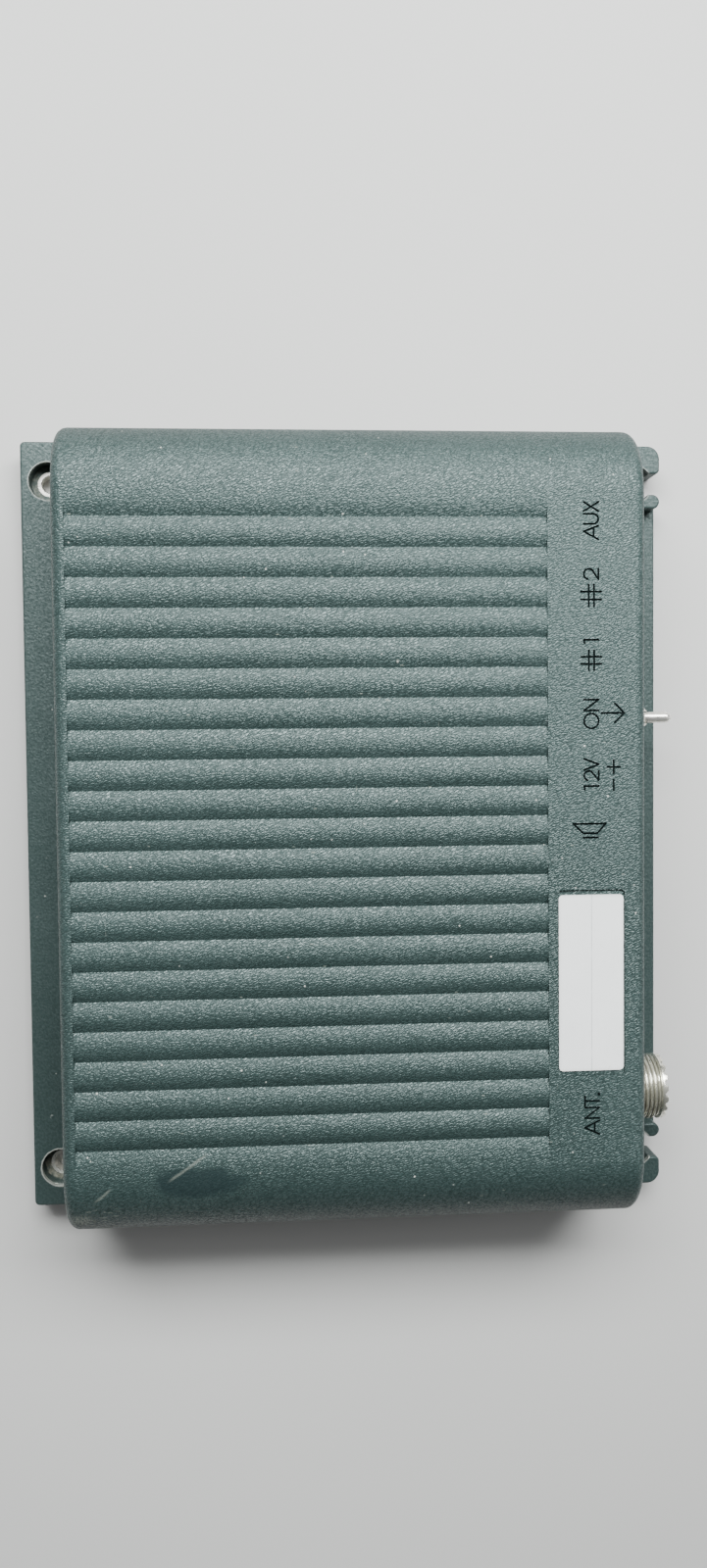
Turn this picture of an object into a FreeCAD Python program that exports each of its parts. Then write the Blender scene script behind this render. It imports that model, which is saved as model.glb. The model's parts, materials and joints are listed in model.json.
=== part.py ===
import FreeCAD, Part
import os, math
from FreeCAD import Vector as V

os.makedirs("parts", exist_ok=True)

# ------------------------------------------------------------ driving sizes, mm
# frame: X along the long side, front (sockets) towards -Y, Z up,
# origin at the middle of the footprint on the mounting face
L, W = 190.0, 160.0            # base length and width
BASE_H = 8.5                   # flange, lugs and rim of the base
STRIP_H = 4.0                  # low strip in front of the sockets
FLOOR = 3.0                    # inner floor height
COV_L = 189.0                  # cover length
COV_Y0, COV_Y1 = -67.0, 68.0   # cover front and rear faces
TOP = 38.5                     # cover top
END_R = 16.5                   # big radius of the cover's long ends
EDGE_R = 2.4                   # cover edge rounding
WALL = 2.5                     # cover wall
PITCH, N_RIB = 6.83, 21        # scalloped ribs
RIB_D = 0.9                    # depth of the cusps
RIB_Y0, RIB_Y1 = -43.9, 64.9   # rib field
HX, HY = 85.4, 73.4            # screw positions
HOLE_CB, HOLE_CB_Z = 4.65, 4.2  # counterbore radius and floor
SLOT_R = 2.6                   # half width of the open front slots
AX_Z = 16.5                    # height of all socket axes
PANEL_F, PANEL_T = -64.4, 2.0  # connector panel front face, thickness
PANEL_B = PANEL_F + PANEL_T
ANT_X, TOG_X, AUX_X, H2_X, H1_X, PWR_X, SPK_X = -66.8, 26.0, 70.65, 55.4, 40.15, 12.4, 0.0
THREAD_OD, THREAD_P = 15.875, 1.058   # antenna socket thread
PCB_Z, PCB_T = 8.0, 1.6
PT = PCB_Z + PCB_T
THROW = 11.0                   # toggle: degrees each side of level
PIV = V(TOG_X, -68.5, AX_Z)    # lever pivot
RKR = 7.0                      # rocker tilt each side
RPIV = V(TOG_X, -55.4, AX_Z)   # rocker pivot
X, Y, Z = V(1, 0, 0), V(0, 1, 0), V(0, 0, 1)

made = {}

def out(name, shape):
    made[name] = shape
    shape.exportStep("parts/%s.step" % name)

def box(x0, x1, y0, y1, z0, z1):
    return Part.makeBox(x1 - x0, y1 - y0, z1 - z0, V(x0, y0, z0))

def cyl(r, p, h, d=Z):
    return Part.makeCylinder(r, h, p, d)

def cone(r0, r1, p, h, d=Z):
    return Part.makeCone(r0, r1, h, p, d)

def ycyl(r, x, y0, y1, z=AX_Z):
    return Part.makeCylinder(r, y1 - y0, V(x, y0, z), Y)

def hexy(af, x, y0, y1, z=AX_Z, turn=0):
    r = af / math.sqrt(3)
    pts = [V(x + r * math.cos(math.radians(60 * i + turn)), y0,
             z + r * math.sin(math.radians(60 * i + turn))) for i in range(7)]
    return Part.Face(Part.makePolygon(pts)).extrude(V(0, y1 - y0, 0))

def fuse(items):
    s = items[0]
    if len(items) > 1:
        s = s.fuse(items[1:])
    return s.removeSplitter()

def cut(a, *b):
    return a.cut(list(b))

def group(items):
    return Part.makeCompound(items)

def rbox(x0, x1, y0, y1, z0, z1, r):
    b = box(x0, x1, y0, y1, z0, z1)
    es = [e for e in b.Edges if abs(e.Vertexes[0].Point.x - e.Vertexes[1].Point.x) < 1e-6
          and abs(e.Vertexes[0].Point.y - e.Vertexes[1].Point.y) < 1e-6]
    return b.makeFillet(r, es)

def wire(items):
    """items: points, or (mid, end) pairs for arcs through mid; closed"""
    cur = items[0]
    es = []
    for it in items[1:]:
        if isinstance(it, tuple):
            es.append(Part.Arc(cur, it[0], it[1]).toShape())
            cur = it[1]
        else:
            if (it - cur).Length > 1e-7:
                es.append(Part.LineSegment(cur, it).toShape())
            cur = it
    return Part.Wire(es)

def arc3(cx, cy, r, a0, a1, z):
    am = math.radians((a0 + a1) / 2)
    a1 = math.radians(a1)
    return (V(cx + r * math.cos(am), cy + r * math.sin(am), z),
            V(cx + r * math.cos(a1), cy + r * math.sin(a1), z))

def try_fillet(s, r, pick):
    es = [e for e in s.Edges if pick(e)]
    try:
        f = s.makeFillet(r, es)
        if f.isValid() and len(f.Solids) == 1:
            return f
    except Exception:
        pass
    print("fillet left out", r, len(es))
    return s

# ------------------------------------------------------------ base
def lug(sx):
    """front corner: lug, open screw slot and thin round-ended bar"""
    x_o, y_f = L / 2, -W / 2
    bar0 = HX - SLOT_R - 3.6
    it = [V(x_o, -66, 0), V(x_o, y_f + 3.2, 0), arc3(x_o - 3.2, y_f + 3.2, 3.2, 0, -90, 0),
          V(HX + SLOT_R + 1.2, y_f, 0), arc3(HX + SLOT_R + 1.2, y_f + 1.2, 1.2, 270, 180, 0),
          V(HX + SLOT_R, -HY, 0), arc3(HX, -HY, SLOT_R, 0, 180, 0),
          V(HX - SLOT_R, y_f + 1.8, 0), arc3(bar0 + 1.8, y_f + 1.8, 1.8, 0, -180, 0),
          V(bar0, -66, 0), V(x_o, -66, 0)]
    s = Part.Face(wire(it)).extrude(V(0, 0, BASE_H))
    s = try_fillet(s, 0.55, lambda e: min(v.Point.z for v in e.Vertexes) > BASE_H - 0.01
                   and max(v.Point.y for v in e.Vertexes) < -66 + 14 and
                   not all(abs(v.Point.y + 66) < 0.01 for v in e.Vertexes))
    if sx < 0:
        s = s.mirror(V(0, 0, 0), X)
    return s

slab = rbox(-L / 2, L / 2, -67.0, W / 2, 0, BASE_H, 1.2)
slab = fuse([slab, box(-L / 2, L / 2, -67.0, -60.0, 0, BASE_H)])
slab = try_fillet(slab, 0.55, lambda e: min(v.Point.z for v in e.Vertexes) > BASE_H - 0.01
                  and (max(v.Point.y for v in e.Vertexes) > 69))
bar0 = HX - SLOT_R - 3.6
strip = box(-bar0 - 1, bar0 + 1, -W / 2, -66, 0, STRIP_H)
strip = try_fillet(strip, 0.5, lambda e: min(v.Point.z for v in e.Vertexes) > STRIP_H - 0.01
                   and max(v.Point.y for v in e.Vertexes) < -79)
base = fuse([slab, strip, lug(1), lug(-1)])
pocket = rbox(-89.5, 89.5, -61.6, 64.0, FLOOR, BASE_H + 1, 3.0)
base = cut(base, pocket)
CS = [(sx * 84.0, y) for sx in (-1, 1) for y in (-50.0, 1.0, 56.0)]      # cover screws
BS = [(-70.0, 24.0), (-71.0, -37.0), (4.0, -46.0), (4.0, 50.0), (70.0, 50.0), (70.0, -44.0)]
TABS = [(-83.0, -76.0), (-46.0, -34.0), (77.0, 83.0)]                    # panel feet
adds = [cyl(4.5, V(x, y, FLOOR - 0.5), BASE_H - FLOOR + 0.5) for x, y in CS]
adds += [cyl(3.4, V(x, y, FLOOR - 0.5), PCB_Z - FLOOR + 0.5) for x, y in BS]
adds += [box(a + 0.3, b - 0.3, -62.0, -54.5, FLOOR - 0.5, BASE_H) for a, b in TABS]
adds += [box(-72, -6, 37.5, 60.5, FLOOR - 0.5, 6.0), box(28, 60, 56.5, 63.5, FLOOR - 0.5, 6.0)]
adds += [box(-78, 78, y - 0.8, y + 0.8, FLOOR - 0.5, 4.4) for y in (-28.0, 12.0)]
base = fuse([base] + adds)
cuts = []
for sx in (-1, 1):
    cuts += [cyl(3.1, V(sx * HX, HY, -1), 12), cyl(HOLE_CB, V(sx * HX, HY, HOLE_CB_Z), 6),
             cyl(HOLE_CB, V(sx * HX, -HY, HOLE_CB_Z), 6)]
for x, y in CS:
    cuts += [cyl(1.7, V(x, y, -1), 12), cyl(3.3, V(x, y, -1), 4.0)]
for x, y in BS:
    cuts.append(cyl(1.5, V(x, y, 3.4), 6))
for a, b in TABS:
    cuts.append(cyl(1.25, V((a + b) / 2, -58.0, 4.0), 6))
for x in (-69.5, -8.5):
    cuts.append(cyl(1.5, V(x, 49.0, 3.4), 4))
for x in (32.0, 56.0):
    cuts.append(cyl(1.5, V(x, 60.7, 3.4), 4))
# sealing groove round the rim
g = box(-94.0, 94.0, -64.0, 67.4, 7.4, BASE_H + 1).cut(box(-92.4, 92.4, -62.4, 65.8, 7, BASE_H + 2))
cuts.append(g)
cuts += [ycyl(9.9, ANT_X, -67.5, -64.3), ycyl(11.4, ANT_X, -62.45, -57.0)]   # room for the antenna socket's flange and nut
# underside: shallow relief with ribs, and pockets under the rear flange
rel = [box(x0, x1, y0, y1, -1, 1.0) for x0, x1 in ((-77, -27), (-24, 24), (27, 77))
       for y0, y1 in ((-56, -18), (-15, 20), (23, 58))]
rel += [box(x0, x1, 69.0, 77.0, -1, 3.5) for x0, x1 in ((-77, -27), (-24, 24), (27, 77))]
base = cut(base, *(cuts + rel))
out("base_chassis", base)

bush = []
for sx in (-1, 1):
    p = V(sx * HX, HY, 0)
    b = cyl(3.1, p + V(0, 0, 0.4), HOLE_CB_Z - 0.4)
    bush.append(cut(b, cyl(2.3, p + V(0, 0, -1), 8)))
out("mount_bushes", group(bush))
out("cover_gasket", box(-94.0, 94.0, -64.0, 67.4, 7.4, BASE_H).cut(box(-92.4, 92.4, -62.4, 65.8, 7, BASE_H + 1)))

# ------------------------------------------------------------ cover
def shell_profile(hx, top, r, y):
    c = hx - r
    it = [V(-hx, y, BASE_H), V(-hx, y, top - r)]
    q = math.sqrt(0.5) * r
    it += [(V(-c - q, y, top - r + q), V(-c, y, top)), V(c, y, top),
           (V(c + q, y, top - r + q), V(hx, y, top - r)), V(hx, y, BASE_H), V(-hx, y, BASE_H)]
    return Part.Face(wire(it))

cov = shell_profile(COV_L / 2, TOP, END_R, COV_Y0).extrude(V(0, COV_Y1 - COV_Y0, 0))
def end_edge(e):
    ys = [v.Point.y for v in e.Vertexes]
    zs = [v.Point.z for v in e.Vertexes]
    return (max(ys) - min(ys) < 1e-6) and not all(abs(z - BASE_H) < 1e-6 for z in zs)
cov = cov.makeFillet(EDGE_R, [e for e in cov.Edges if end_edge(e)])
cav = shell_profile(COV_L / 2 - WALL, TOP - WALL, END_R - WALL, COV_Y0 + WALL)
cav = cav.extrude(V(0, COV_Y1 - COV_Y0 - 2 * WALL, 0))
cov = cut(cov, cav)
# screw columns, tied to the end walls by webs
col = []
inner = shell_profile(COV_L / 2 - 0.6, TOP - 1.2, END_R - 1.0, COV_Y0 + 1).extrude(V(0, COV_Y1 - COV_Y0 - 2, 0))
for x, y in CS:
    s = 1 if x > 0 else -1
    c = fuse([cyl(4.0, V(x, y, BASE_H), 30), box(min(x, x + s * 10), max(x, x + s * 10), y - 0.9, y + 0.9, 12, 38)])
    col.append(c.common(inner))
cov = fuse([cov] + col)
cov = cut(cov, *[cyl(2.3, V(x, y, BASE_H - 1), 9) for x, y in CS])
# opening for the connector panel
cov = cut(cov, box(-80, 80, -68, -64.4, BASE_H - 1, 31.0))

# scalloped ribs: convex lobes between sharp cusps
def lobes():
    n = N_RIB
    x0 = -PITCH * n / 2
    zc, ztop = TOP - RIB_D, TOP + 2
    we = 4.4                       # the end lobes are a little wider and leave the flat top smoothly
    edge = x0 - we
    re = (we * we + RIB_D * RIB_D) / (2 * RIB_D)
    am = math.asin(we / re) / 2
    it = [V(edge, 0, TOP), (V(edge + re * math.sin(am), 0, TOP - re + re * math.cos(am)), V(x0, 0, zc))]
    for i in range(n):
        a = x0 + i * PITCH
        it.append((V(a + PITCH / 2, 0, TOP - 0.05), V(a + PITCH, 0, zc)))
    xe = -edge
    it.append((V(xe - re * math.sin(am), 0, TOP - re + re * math.cos(am)), V(xe, 0, TOP)))
    it += [V(xe, 0, ztop), V(edge, 0, ztop), V(edge, 0, TOP)]
    f = Part.Face(wire(it))
    f.translate(V(0, RIB_Y0, 0))
    return f.extrude(V(0, RIB_Y1 - RIB_Y0, 0))
cov = cut(cov, lobes())
cov = cut(cov, rbox(-57.4, -14.0, -61.8, -46.0, TOP - 0.5, TOP + 1, 1.1))
out("rating_label", rbox(-56.3, -15.2, -61.55, -46.3, TOP - 0.5, TOP - 0.2, 1.0))

# ---- debossed marks: strokes drawn as thin channels
MW, MD = 0.46, 0.4
def stroke(pts):
    """a channel with round ends along a run of points"""
    bits = []
    for (x0, y0), (x1, y1) in zip(pts, pts[1:]):
        a, b = V(x0, y0, TOP - MD), V(x1, y1, TOP - MD)
        d = b - a
        if d.Length < 1e-6:
            continue
        n = V(-d.y, d.x, 0)
        n.normalize()
        n = n * (MW / 2)
        f = Part.Face(Part.makePolygon([a + n, b + n, b - n, a - n, a + n]))
        bits.append(f.extrude(V(0, 0, MD + 1)))
    for x, y in pts:
        bits.append(cyl(MW / 2, V(x, y, TOP - MD), MD + 1))
    return bits
def ring(cx, cy, r):
    return [cyl(r + MW / 2, V(cx, cy, TOP - MD), MD + 1).cut(cyl(r - MW / 2, V(cx, cy, TOP - 2), 4))]
def curve(cx, cy, rx, ry, a0, a1, n=10):
    return [(cx + rx * math.cos(math.radians(a0 + (a1 - a0) * i / n)),
             cy + ry * math.sin(math.radians(a0 + (a1 - a0) * i / n))) for i in range(n + 1)]
B, T = -55.7, -52.3            # baseline and cap line
H = T - B
def two(x, w):
    c = curve(x + w / 2, T - w / 2, w / 2, w / 2, 165, -38, 9)
    return stroke(c + [(x, B), (x + w, B)])
def one(x):
    return stroke([(x - 0.85, T - 0.15), (x, T), (x, B)])
def hash_(x, w):
    a, b = x + w * 0.32, x + w * 0.68
    return (stroke([(a, T + 0.65), (a, B - 0.65)]) + stroke([(b, T + 0.65), (b, B - 0.65)]) +
            stroke([(x, B + H * 0.66), (x + w, B + H * 0.66)]) + stroke([(x, B + H * 0.3), (x + w, B + H * 0.3)]))
m = []
# AUX
m += stroke([(66.5, B), (68.3, T)]) + stroke([(68.3, T), (69.6, B)]) + stroke([(67.2, B + 1.1), (69.1, B + 1.1)])
m += stroke([(70.0, T), (70.0, B + 1.15)] + curve(71.15, B + 1.15, 1.15, 1.15, 180, 360, 8) + [(72.3, T)])
m += stroke([(72.9, T), (75.0, B)]) + stroke([(75.0, T), (72.9, B)])
# 2 and 1, with hash signs
m += hash_(51.2, 5.0) + two(57.4, 2.4)
m += hash_(36.6, 4.6) + one(43.6)
# ON with arrow
m += ring(25.0, (B + T) / 2, H / 2)
m += stroke([(27.4, B), (27.4, T), (29.9, B), (29.9, T)])
m += stroke([(26.8, -56.4), (26.8, -61.7)]) + stroke([(24.6, -59.5), (26.8, -61.7), (29.0, -59.5)])
# 12V with minus and plus
m += one(10.0) + two(11.3, 2.2) + stroke([(13.7, T), (15.0, B), (16.3, T)])
m += stroke([(9.0, -59.2), (11.4, -59.2)]) + stroke([(12.8, -59.2), (15.9, -59.2)]) + stroke([(14.35, -57.7), (14.35, -60.7)])
# loudspeaker sign
m += stroke([(1.3, -49.7), (1.3, -57.3), (-0.9, -55.4), (-0.9, -52.1), (1.3, -49.7)])
m += stroke([(-1.9, -52.1), (-1.9, -55.5)])
# ANT.
m += stroke([(-71.3, B), (-69.7, T)]) + stroke([(-69.7, T), (-68.1, B)]) + stroke([(-70.7, B + 1.1), (-68.7, B + 1.1)])
m += stroke([(-67.5, B), (-67.5, T), (-65.0, B), (-65.0, T)])
m += stroke([(-64.6, T), (-62.3, T)]) + stroke([(-63.45, T), (-63.45, B)])
m += [cyl(0.36, V(-61.9, B + 0.1, TOP - MD), MD + 1)]
tool = m[0].fuse(m[1:])
cov = cov.cut(tool)
out("top_cover", cov)

ins, scr = [], []
for x, y in CS:
    ins.append(cyl(2.3, V(x, y, BASE_H), 6.5).cut(cyl(1.5, V(x, y, 0), 30)))
    s = fuse([cyl(2.8, V(x, y, 0.8), 2.2), cyl(1.5, V(x, y, 2.8), 12.0)])
    s = cut(s, box(x - 1.6, x + 1.6, y - 0.4, y + 0.4, -1, 1.9), box(x - 0.4, x + 0.4, y - 1.6, y + 1.6, -1, 1.9))
    scr.append(s)
out("cover_inserts", group(ins))
out("cover_screws", group(scr))

# ------------------------------------------------------------ connector panel
pan = box(-83, 83, PANEL_F, PANEL_B, BASE_H, 33.0)
pan = fuse([pan] + [box(a, b, PANEL_B - 0.1, -54.5, BASE_H, BASE_H + 1.5) for a, b in TABS])
holes = [ycyl(7.95, ANT_X, -66, -60), ycyl(3.0, TOG_X, -66, -60), ycyl(3.0, SPK_X, -66, -60)]
holes += [ycyl(6.0, x, -66, -60) for x in (AUX_X, H2_X, H1_X)]
holes += [box(PWR_X - 5.4, PWR_X + 5.4, -66, -60, AX_Z - 4.2, AX_Z + 4.2)]
holes += [cyl(1.6, V((a + b) / 2, -58.0, 5), 8) for a, b in TABS]
out("connector_panel", cut(pan, *holes))
ps = []
for a, b in TABS:
    c = V((a + b) / 2, -58.0, 0)
    ps.append(fuse([cyl(1.25, c + V(0, 0, 4.4), 5.7), cyl(2.4, c + V(0, 0, BASE_H + 1.5), 1.6)]))
out("panel_screws", group(ps))

# ------------------------------------------------------------ antenna socket
R = THREAD_OD / 2
YF, YE = PANEL_F, -77.2
prof = [V(5.9, YF + 4.5, 0), V(7.95, YF + 4.5, 0), V(7.95, YF, 0), V(9.6, YF, 0), V(9.6, YF - 2.0, 0), V(7.2, YF - 2.0, 0)]
y = YF - 2.4
prof.append(V(7.2, y, 0))
while y - THREAD_P > YE + 1.9:
    prof += [V(R, y - 0.44, 0), V(R, y - 0.62, 0), V(7.3, y - THREAD_P, 0)]
    y -= THREAD_P
prof += [V(7.3, YE + 1.7, 0), V(R, YE + 1.4, 0), V(R - 0.1, YE, 0), V(6.5, YE, 0), V(5.9, YE + 0.8, 0), V(5.9, YF + 4.5, 0)]
shell = Part.Face(Part.makePolygon(prof)).revolve(V(0, 0, 0), Y, 360)
teeth = []
NT = 18
for i in range(NT):
    t = Part.Face(Part.makePolygon([V(4, YE + 1.25, 0), V(4, YE - 0.1, 0.85), V(4, YE - 0.1, -0.85), V(4, YE + 1.25, 0)])).extrude(V(6, 0, 0))
    t.rotate(V(0, 0, 0), Y, 360.0 * i / NT)
    teeth.append(t)
shell = cut(shell, *teeth)
shell.translate(V(ANT_X, 0, AX_Z))
shell = shell.common(box(-90, -40, -90, -40, 0, 40))
out("antenna_socket_shell", shell)
out("antenna_socket_nut", hexy(19, ANT_X, PANEL_B + 0.6, PANEL_B + 2.5).cut(ycyl(7.95, ANT_X, -70, -50)))
tag = fuse([ycyl(9.2, ANT_X, PANEL_B, PANEL_B + 0.6), box(ANT_X - 2, ANT_X + 2, PANEL_B, PANEL_B + 0.6, AX_Z + 5, AX_Z + 13)])
out("antenna_ground_tag", tag.cut(ycyl(7.95, ANT_X, -70, -50)))
out("antenna_socket_insulator", cut(ycyl(5.9, ANT_X, -72.0, -58.5), ycyl(2.6, ANT_X, -80, -50)))
con = fuse([ycyl(2.6, ANT_X, -76.5, -58.0), ycyl(1.4, ANT_X, -58.0, -54.5)])
con = cut(con, ycyl(2.0, ANT_X, -77, -66), box(ANT_X - 0.25, ANT_X + 0.25, -77, -72.6, AX_Z - 3, AX_Z + 3),
          box(ANT_X - 3, ANT_X + 3, -77, -72.6, AX_Z - 0.25, AX_Z + 0.25))
out("antenna_socket_contact", con)
r = 4.0
p0, p1 = V(ANT_X, -54.5, AX_Z), V(ANT_X, -48.0 - r + 2, AX_Z)
mid = V(ANT_X, p1.y + r * math.sin(math.pi / 4), AX_Z - r + r * math.cos(math.pi / 4))
p2 = V(ANT_X, p1.y + r, AX_Z - r)
p3 = V(ANT_X, p1.y + r, PT)
path = Part.Wire([Part.LineSegment(p0, p1).toShape(), Part.Arc(p1, mid, p2).toShape(), Part.LineSegment(p2, p3).toShape()])
sec = Part.Wire([Part.Circle(p0, Y, 1.3).toShape()])
out("antenna_coax", path.makePipeShell([sec], True, False))

# ------------------------------------------------------------ round sockets
def round_socket(name, x, n):
    prof = [V(4.7, PANEL_B + 8, 0), V(6.0, PANEL_B + 8, 0), V(6.0, PANEL_F, 0), V(7.1, PANEL_F, 0), V(7.1, PANEL_F - 1.6, 0),
            V(5.6, PANEL_F - 1.6, 0), V(5.6, PANEL_F - 2.2, 0)]
    yy = PANEL_F - 2.2
    for i in range(4):
        prof += [V(6.0, yy - 0.4, 0), V(6.0, yy - 0.6, 0), V(5.6, yy - 1.0, 0)]
        yy -= 1.0
    prof += [V(5.6, yy - 0.6, 0), V(5.3, yy - 0.9, 0), V(4.9, yy - 0.9, 0), V(4.7, yy - 0.7, 0), V(4.7, PANEL_B + 8, 0)]
    s = Part.Face(Part.makePolygon(prof)).revolve(V(0, 0, 0), Y, 360)
    s.translate(V(x, 0, AX_Z))
    key = box(x - 0.8, x + 0.8, yy + 1.2, yy + 6, AX_Z + 3.9, AX_Z + 4.75).common(ycyl(4.72, x, -80, -50))
    out(name + "_shell", fuse([s, key]).cut(ycyl(4.7, x, yy + 6.5, PANEL_B + 9)))
    ins = ycyl(4.7, x, yy + 1.2, PANEL_B + 8.0).cut(box(x - 0.8, x + 0.8, yy, yy + 6, AX_Z + 3.9, AX_Z + 6))
    pts = [(0, 0)] if n > 6 else []
    k = n - len(pts)
    pts += [(3.0 * math.cos(math.radians(90 + 22 + 360.0 / k * i)), 3.0 * math.sin(math.radians(90 + 22 + 360.0 / k * i))) for i in range(k)]
    ins = cut(ins, *[ycyl(0.6, x + a, -80, -45, AX_Z + b) for a, b in pts])
    out(name + "_insert", ins)
    cs = []
    for a, b in pts:
        c = ycyl(0.6, x + a, yy + 1.7, PANEL_B + 10.5, AX_Z + b).cut(ycyl(0.38, x + a, yy, yy + 5, AX_Z + b))
        cs.append(c)
    out(name + "_contacts", group(cs))
round_socket("handset_socket_1", H1_X, 8)
round_socket("handset_socket_2", H2_X, 8)
round_socket("aux_socket", AUX_X, 6)

# ------------------------------------------------------------ supply socket
hs = fuse([box(PWR_X - 6.5, PWR_X + 6.5, PANEL_F - 1.5, PANEL_F, AX_Z - 5.6, AX_Z + 5.6),
           box(PWR_X - 5.4, PWR_X + 5.4, -70.5, -56.0, AX_Z - 4.2, AX_Z + 4.2),
           box(PWR_X - 2.0, PWR_X + 2.0, -70.5, PANEL_F, AX_Z + 4.0, AX_Z + 5.2)])
hs = cut(hs, box(PWR_X - 4.4, PWR_X + 4.4, -71, -59.5, AX_Z - 3.2, AX_Z + 3.2))
pp = [ycyl(0.9, PWR_X + s * 1.95, -65.0, -53.5) for s in (-1, 1)]
hs = cut(hs, *[ycyl(0.9, PWR_X + s * 1.95, -66.0, -50) for s in (-1, 1)])
out("power_socket_housing", hs)
out("power_socket_pins", group(pp))

# ------------------------------------------------------------ loudspeaker jack
out("speaker_jack_barrel", ycyl(3.0, SPK_X, -69.0, -58.0).cut(ycyl(1.8, SPK_X, -70, -50)))
nut = ycyl(4.1, SPK_X, PANEL_F - 1.8, PANEL_F)
nut = cut(nut, ycyl(3.0, SPK_X, -70, -60), *[box(SPK_X - 0.3, SPK_X + 0.3, PANEL_F - 3, PANEL_F + 1, AX_Z + 3.75, AX_Z + 6).rotated(V(SPK_X, 0, AX_Z), Y, 15 * i) for i in range(24)])
out("speaker_jack_nut", nut)
jb = box(SPK_X - 4.2, SPK_X + 4.2, PANEL_B, -49.0, PT + 0.1, 21.5)
out("speaker_jack_body", cut(jb, ycyl(3.0, SPK_X, -70, -58.0), ycyl(1.8, SPK_X, -60, -50.5)))

# ------------------------------------------------------------ toggle switch
th = math.radians(THROW)
bu = fuse([ycyl(3.0, TOG_X, -72.4, PANEL_B), cone(3.0, 1.75, V(TOG_X, -72.4, AX_Z), 1.4, V(0, -1, 0))])
bu = fuse([bu, box(TOG_X - 4, TOG_X + 4, PANEL_B, PANEL_B + 1.2, AX_Z - 6.5, AX_Z + 6.5)])
bu = cut(bu, ycyl(2.55, TOG_X, -71.9, -50), box(TOG_X - 1.5, TOG_X + 1.5, -75, -71, AX_Z - 2.55, AX_Z + 2.55), cyl(0.5, V(TOG_X - 2.9, PIV.y, AX_Z), 5.8, X))
out("toggle_bushing", bu)
out("toggle_washer", ycyl(4.6, TOG_X, PANEL_F - 0.5, PANEL_F).cut(ycyl(3.0, TOG_X, -80, -50)))
out("toggle_nut", hexy(8, TOG_X, PANEL_F - 2.5, PANEL_F - 0.5).cut(ycyl(3.0, TOG_X, -80, -50)))
out("toggle_pivot_pin", cyl(0.5, V(TOG_X - 2.9, PIV.y, AX_Z), 5.8, X))
LR = 1.36
LT = (79.4 - 68.5) / math.cos(th) - LR
lv = fuse([Part.makeSphere(2.25, PIV), cone(1.0, LR, PIV, 5.5, V(0, -1, 0)),
           cyl(LR, PIV + V(0, -5.5, 0), LT - 5.5, V(0, -1, 0)), Part.makeSphere(LR, PIV + V(0, -LT, 0)),
           cyl(0.7, PIV, 11.4, Y), Part.makeSphere(0.7, PIV + V(0, 11.4, 0))])
lv = cut(lv, cyl(0.55, V(TOG_X - 4, PIV.y, AX_Z), 8, X))
lv.rotate(PIV, X, -THROW)      # rest: lever up, switched off
out("toggle_lever", lv)
tb = cut(box(TOG_X - 4, TOG_X + 4, PANEL_B + 1.2, -51.2, AX_Z - 6.5, AX_Z + 6.5),
         box(TOG_X - 3, TOG_X + 3, PANEL_B + 1.0, -53.2, AX_Z - 5.5, AX_Z + 5.5))
ter = [box(TOG_X - 0.8, TOG_X + 0.8, (-55.0 if k == 0 else -54.45), -47.8, AX_Z + 3.9 * k - 0.4, AX_Z + 3.9 * k + 0.4) for k in (-1, 0, 1)]
tb = tb.cut([box(TOG_X - 0.8, TOG_X + 0.8, -56, -47, AX_Z + 3.9 * k - 0.4, AX_Z + 3.9 * k + 0.4) for k in (-1, 0, 1)])
out("toggle_body", tb)
out("toggle_terminals", group(ter))
rk = fuse([box(TOG_X - 1.6, TOG_X + 1.6, RPIV.y - 0.6, RPIV.y, AX_Z - 4.2, AX_Z + 4.2),
           cyl(0.36, RPIV - V(1.6, 0, 0), 3.2, X)])      # round heel it rocks on
rk.rotate(RPIV, X, RKR)
out("toggle_rocker", rk)

# ------------------------------------------------------------ electronics
pts = [(-76, -50), (-20, -50), (-20, -60), (76, -60), (76, 55.5), (-3, 55.5), (-3, 36), (-76, 36), (-76, -50)]
pcb = Part.Face(Part.makePolygon([V(a, b, PCB_Z) for a, b in pts])).extrude(V(0, 0, PCB_T))
pcb = cut(pcb, box(-48, -32, -64, -52, PCB_Z - 1, PT + 1), *[cyl(1.6, V(x, y, 0), 20) for x, y in BS])
out("main_board", pcb)
out("board_screws", group([fuse([cyl(1.5, V(x, y, 3.6), 6.2), cyl(2.8, V(x, y, PT), 1.9)]) for x, y in BS]))
pm = fuse([box(-72, -6, 39, 59, 6.0, 8.2), box(-64, -14, 39.5, 58.5, 8.0, 15.5)] +
          [box(x - 0.3, x + 0.3, 34.0, 39.6, 11.0, 11.5) for x in (-56, -44, -32, -20)] +
          [box(x - 0.3, x + 0.3, 34.0, 34.6, PT, 11.5) for x in (-56, -44, -32, -20)])
pm = cut(pm, *[cyl(1.6, V(x, 49.0, 0), 20) for x in (-69.5, -8.5)])
out("rf_power_module", pm)
out("power_module_screws", group([fuse([cyl(1.5, V(x, 49, 3.6), 4.7), cyl(2.4, V(x, 49, 8.2), 1.9)]) for x in (-69.5, -8.5)]))
def can(name, x0, x1, y0, y1, h):
    s = box(x0, x1, y0, y1, PT, PT + h).cut(box(x0 + 0.5, x1 - 0.5, y0 + 0.5, y1 - 0.5, PT - 1, PT + h + 1))
    s = fuse([s, box((x0 + x1) / 2 - 0.25, (x0 + x1) / 2 + 0.25, y0 + 0.4, y1 - 0.4, PT, PT + h)])
    out(name, s)
    lid = box(x0 - 0.5, x1 + 0.5, y0 - 0.5, y1 + 0.5, PT + h, PT + h + 0.5)
    lid = cut(lid, *[cyl(1.2, V(x0 + (x1 - x0) * f, (y0 + y1) / 2, PT), 30) for f in (0.2, 0.8)])
    out(name + "_lid", lid)
can("synthesizer_shield", -66, -26, -8, 18, 14)
can("receiver_shield", -18, 26, -8, 18, 14)
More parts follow.
